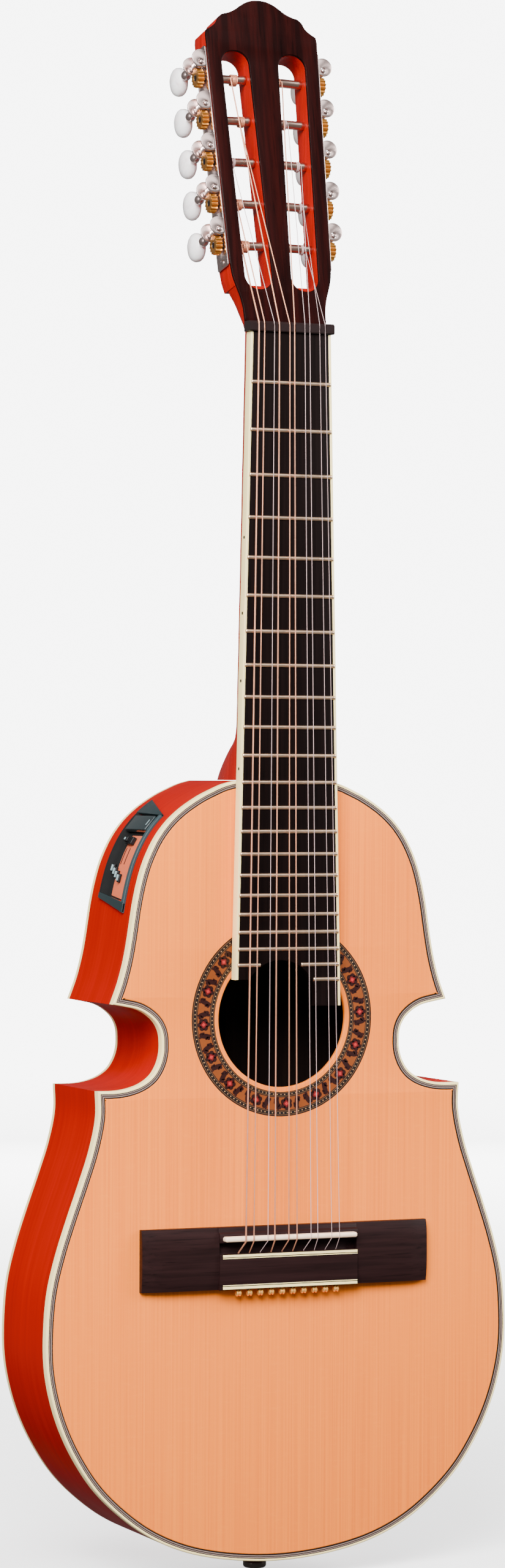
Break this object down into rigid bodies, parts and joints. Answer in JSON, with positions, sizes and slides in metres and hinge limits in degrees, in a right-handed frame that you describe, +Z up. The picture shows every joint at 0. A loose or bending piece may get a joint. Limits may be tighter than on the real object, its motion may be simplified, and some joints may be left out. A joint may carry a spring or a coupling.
{
  "type": "cuatro",
  "caption": "Violin-shaped cuatro with a flat soundboard, round sound hole, slotted headstock with worm tuners, tie-block bridge and a preamp in the bass-side rib.",
  "frame": {"origin": "on the centre line at the front edge of the nut, level with the soundboard surface, where a yoke hanger takes the neck", "axes": "+Z up the neck to the headstock, -Y out of the soundboard, +X towards the treble side"},
  "size_m": [0.2966, 0.092, 0.9388],
  "materials": {
    "spruce_top": "clear gloss lacquer",
    "mahogany_body": "red stained gloss lacquer",
    "cream_binding": "satin",
    "mahogany_block": "satin",
    "spruce_brace": "satin",
    "rosewood_headplate": "satin gloss",
    "nickel_plate": "polished",
    "post_brass": "satin",
    "button_pearl": "pearl gloss",
    "mahogany_neck": "red stained gloss lacquer",
    "rosewood_fingerboard": "oiled satin",
    "fret_metal": "satin",
    "dark_nut": "satin",
    "rosewood_bridge": "oiled satin",
    "bone_saddle": "satin",
    "pickup_brass": "satin",
    "bronze_wound": "satin",
    "plain_steel": "satin",
    "slate_plastic": "satin",
    "slider_plastic": "satin",
    "black_plastic": "satin",
    "slate_gloss": "satin",
    "jack_metal": "black satin"
  },
  "bodies": {
    "instrument": {"soundboard": "spruce_top", "back_plate": "mahogany_body", "rib_treble": "mahogany_body", "rib_bass": "mahogany_body", "binding_front": "cream_binding", "binding_back": "cream_binding", "neck_block": "mahogany_block", "tail_block": "mahogany_block", "top_bracing": "spruce_brace", "back_bracing": "spruce_brace", "headplate": "rosewood_headplate", "tuner_plate_bass": "nickel_plate", "tuner_plate_treble": "nickel_plate", "neck": "mahogany_neck", "fingerboard": "rosewood_fingerboard", "fingerboard_binding_bass": "cream_binding", "fingerboard_binding_treble": "cream_binding", "frets": "fret_metal", "nut": "dark_nut", "bridge": "rosewood_bridge", "saddle": "bone_saddle", "saddle_pickup": "pickup_brass", "string_1": "bronze_wound", "string_2": "bronze_wound", "string_3": "plain_steel", "string_4": "bronze_wound", "string_5": "bronze_wound", "string_6": "bronze_wound", "string_7": "plain_steel", "string_8": "plain_steel", "string_9": "plain_steel", "string_10": "plain_steel", "preamp_housing": "slate_plastic", "endpin_jack": "jack_metal"},
    "string_post_1": {"string_post_1": "post_brass"},
    "tuner_key_1": {"tuner_key_1": "button_pearl"},
    "string_post_2": {"string_post_2": "post_brass"},
    "tuner_key_2": {"tuner_key_2": "button_pearl"},
    "string_post_3": {"string_post_3": "post_brass"},
    "tuner_key_3": {"tuner_key_3": "button_pearl"},
    "string_post_5": {"string_post_5": "post_brass"},
    "tuner_key_5": {"tuner_key_5": "button_pearl"},
    "string_post_4": {"string_post_4": "post_brass"},
    "tuner_key_4": {"tuner_key_4": "button_pearl"},
    "string_post_10": {"string_post_10": "post_brass"},
    "tuner_key_10": {"tuner_key_10": "button_pearl"},
    "string_post_9": {"string_post_9": "post_brass"},
    "tuner_key_9": {"tuner_key_9": "button_pearl"},
    "string_post_8": {"string_post_8": "post_brass"},
    "tuner_key_8": {"tuner_key_8": "button_pearl"},
    "string_post_7": {"string_post_7": "post_brass"},
    "tuner_key_7": {"tuner_key_7": "button_pearl"},
    "string_post_6": {"string_post_6": "post_brass"},
    "tuner_key_6": {"tuner_key_6": "button_pearl"},
    "eq_slider_1": {"eq_slider_1": "slider_plastic"},
    "eq_slider_2": {"eq_slider_2": "slider_plastic"},
    "eq_slider_3": {"eq_slider_3": "slider_plastic"},
    "eq_slider_4": {"eq_slider_4": "slider_plastic"},
    "volume_slider": {"volume_slider": "black_plastic"},
    "battery_door": {"battery_door": "slate_gloss"}
  },
  "joints": [
    {"name": "key_turn_1", "type": "hinge", "parent": "instrument", "child": "tuner_key_1", "pos_m": [-0.03718, 0.01107, 0.06202], "axis": [0, -0.9774, 0.2113], "continuous": true},
    {"name": "post_turn_1", "type": "hinge", "parent": "instrument", "child": "string_post_1", "pos_m": [-0.03298, 0.01822, 0.0525], "axis": [0.9997, 0.0055, 0.0256], "continuous": true},
    {"name": "key_turn_2", "type": "hinge", "parent": "instrument", "child": "tuner_key_2", "pos_m": [-0.03786, 0.01657, 0.08747], "axis": [0, -0.9774, 0.2113], "continuous": true},
    {"name": "post_turn_2", "type": "hinge", "parent": "instrument", "child": "string_post_2", "pos_m": [-0.03366, 0.02372, 0.07795], "axis": [0.9997, 0.0055, 0.0256], "continuous": true},
    {"name": "key_turn_3", "type": "hinge", "parent": "instrument", "child": "tuner_key_3", "pos_m": [-0.03855, 0.02208, 0.11292], "axis": [0, -0.9774, 0.2113], "continuous": true},
    {"name": "post_turn_3", "type": "hinge", "parent": "instrument", "child": "string_post_3", "pos_m": [-0.03434, 0.02923, 0.1034], "axis": [0.9997, 0.0055, 0.0256], "continuous": true},
    {"name": "key_turn_4", "type": "hinge", "parent": "instrument", "child": "tuner_key_4", "pos_m": [-0.03991, 0.03308, 0.16383], "axis": [0, -0.9774, 0.2113], "continuous": true},
    {"name": "post_turn_4", "type": "hinge", "parent": "instrument", "child": "string_post_4", "pos_m": [-0.0357, 0.04023, 0.15431], "axis": [0.9997, 0.0055, 0.0256], "continuous": true},
    {"name": "key_turn_5", "type": "hinge", "parent": "instrument", "child": "tuner_key_5", "pos_m": [-0.03923, 0.02758, 0.13837], "axis": [0, -0.9774, 0.2113], "continuous": true},
    {"name": "post_turn_5", "type": "hinge", "parent": "instrument", "child": "string_post_5", "pos_m": [-0.03502, 0.03473, 0.12886], "axis": [0.9997, 0.0055, 0.0256], "continuous": true},
    {"name": "key_turn_6", "type": "hinge", "parent": "instrument", "child": "tuner_key_6", "pos_m": [0.03991, 0.03308, 0.16383], "axis": [0, -0.9774, 0.2113], "continuous": true},
    {"name": "post_turn_6", "type": "hinge", "parent": "instrument", "child": "string_post_6", "pos_m": [0.0357, 0.04023, 0.15431], "axis": [0.9997, -0.0055, -0.0256], "continuous": true},
    {"name": "key_turn_7", "type": "hinge", "parent": "instrument", "child": "tuner_key_7", "pos_m": [0.03923, 0.02758, 0.13837], "axis": [0, -0.9774, 0.2113], "continuous": true},
    {"name": "post_turn_7", "type": "hinge", "parent": "instrument", "child": "string_post_7", "pos_m": [0.03502, 0.03473, 0.12886], "axis": [0.9997, -0.0055, -0.0256], "continuous": true},
    {"name": "key_turn_8", "type": "hinge", "parent": "instrument", "child": "tuner_key_8", "pos_m": [0.03855, 0.02208, 0.11292], "axis": [0, -0.9774, 0.2113], "continuous": true},
    {"name": "post_turn_8", "type": "hinge", "parent": "instrument", "child": "string_post_8", "pos_m": [0.03434, 0.02923, 0.1034], "axis": [0.9997, -0.0055, -0.0256], "continuous": true},
    {"name": "key_turn_9", "type": "hinge", "parent": "instrument", "child": "tuner_key_9", "pos_m": [0.03786, 0.01657, 0.08747], "axis": [0, -0.9774, 0.2113], "continuous": true},
    {"name": "post_turn_9", "type": "hinge", "parent": "instrument", "child": "string_post_9", "pos_m": [0.03366, 0.02372, 0.07795], "axis": [0.9997, -0.0055, -0.0256], "continuous": true},
    {"name": "key_turn_10", "type": "hinge", "parent": "instrument", "child": "tuner_key_10", "pos_m": [0.03718, 0.01107, 0.06202], "axis": [0, -0.9774, 0.2113], "continuous": true},
    {"name": "post_turn_10", "type": "hinge", "parent": "instrument", "child": "string_post_10", "pos_m": [0.03298, 0.01822, 0.0525], "axis": [0.9997, -0.0055, -0.0256], "continuous": true},
    {"name": "eq_slide_1", "type": "slide", "parent": "instrument", "child": "eq_slider_1", "axis": [0.3095, 0, 0.9509], "range_m": [-0.002, 0.007]},
    {"name": "eq_slide_2", "type": "slide", "parent": "instrument", "child": "eq_slider_2", "axis": [0.2873, 0, 0.9578], "range_m": [-0.002, 0.007]},
    {"name": "eq_slide_3", "type": "slide", "parent": "instrument", "child": "eq_slider_3", "axis": [0.2873, 0, 0.9578], "range_m": [-0.002, 0.007]},
    {"name": "eq_slide_4", "type": "slide", "parent": "instrument", "child": "eq_slider_4", "axis": [0.2751, 0, 0.9614], "range_m": [-0.002, 0.007]},
    {"name": "volume_slide", "type": "slide", "parent": "instrument", "child": "volume_slider", "axis": [0.5015, 0, 0.8652], "range_m": [-0.006, 0]},
    {"name": "battery_door_hinge", "type": "hinge", "parent": "instrument", "child": "battery_door", "pos_m": [-0.07791, 0.0355, -0.29492], "axis": [0, -1, 0], "range_deg": [0, 75]}
  ],
  "couplings": [
    {"joint": "post_turn_1", "follows": "key_turn_1", "ratio": 0.071429},
    {"joint": "post_turn_2", "follows": "key_turn_2", "ratio": 0.071429},
    {"joint": "post_turn_3", "follows": "key_turn_3", "ratio": 0.071429},
    {"joint": "post_turn_4", "follows": "key_turn_4", "ratio": 0.071429},
    {"joint": "post_turn_5", "follows": "key_turn_5", "ratio": 0.071429},
    {"joint": "post_turn_6", "follows": "key_turn_6", "ratio": -0.071429},
    {"joint": "post_turn_7", "follows": "key_turn_7", "ratio": -0.071429},
    {"joint": "post_turn_8", "follows": "key_turn_8", "ratio": -0.071429},
    {"joint": "post_turn_9", "follows": "key_turn_9", "ratio": -0.071429},
    {"joint": "post_turn_10", "follows": "key_turn_10", "ratio": -0.071429}
  ]
}
